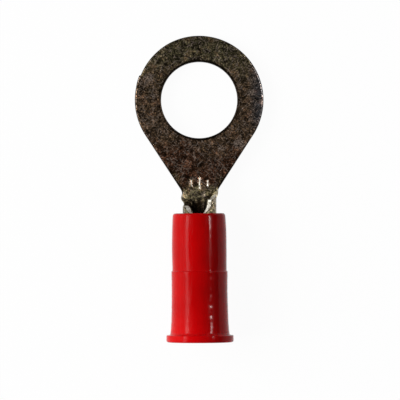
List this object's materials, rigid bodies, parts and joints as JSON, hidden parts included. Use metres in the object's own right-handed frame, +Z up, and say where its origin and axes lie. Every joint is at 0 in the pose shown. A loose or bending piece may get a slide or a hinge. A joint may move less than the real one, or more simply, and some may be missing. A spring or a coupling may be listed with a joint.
{
  "type": "insulated ring terminal",
  "caption": "Crimp ring terminal with a flat ring tongue, a rolled wire barrel and a flanged red insulating sleeve.",
  "frame": {"origin": "centre of the stud hole, on the underside of the tongue", "axes": "+Z up out of the tongue's upper face along the stud, +Y from the wire entry towards the ring, +X to the right"},
  "size_m": [0.0114, 0.0273, 0.0059],
  "materials": {
    "tinned_copper": "satin",
    "red_nylon": "gloss"
  },
  "bodies": {
    "root": {"tinned_terminal": "tinned_copper", "insulating_sleeve": "red_nylon"}
  },
  "joints": []
}
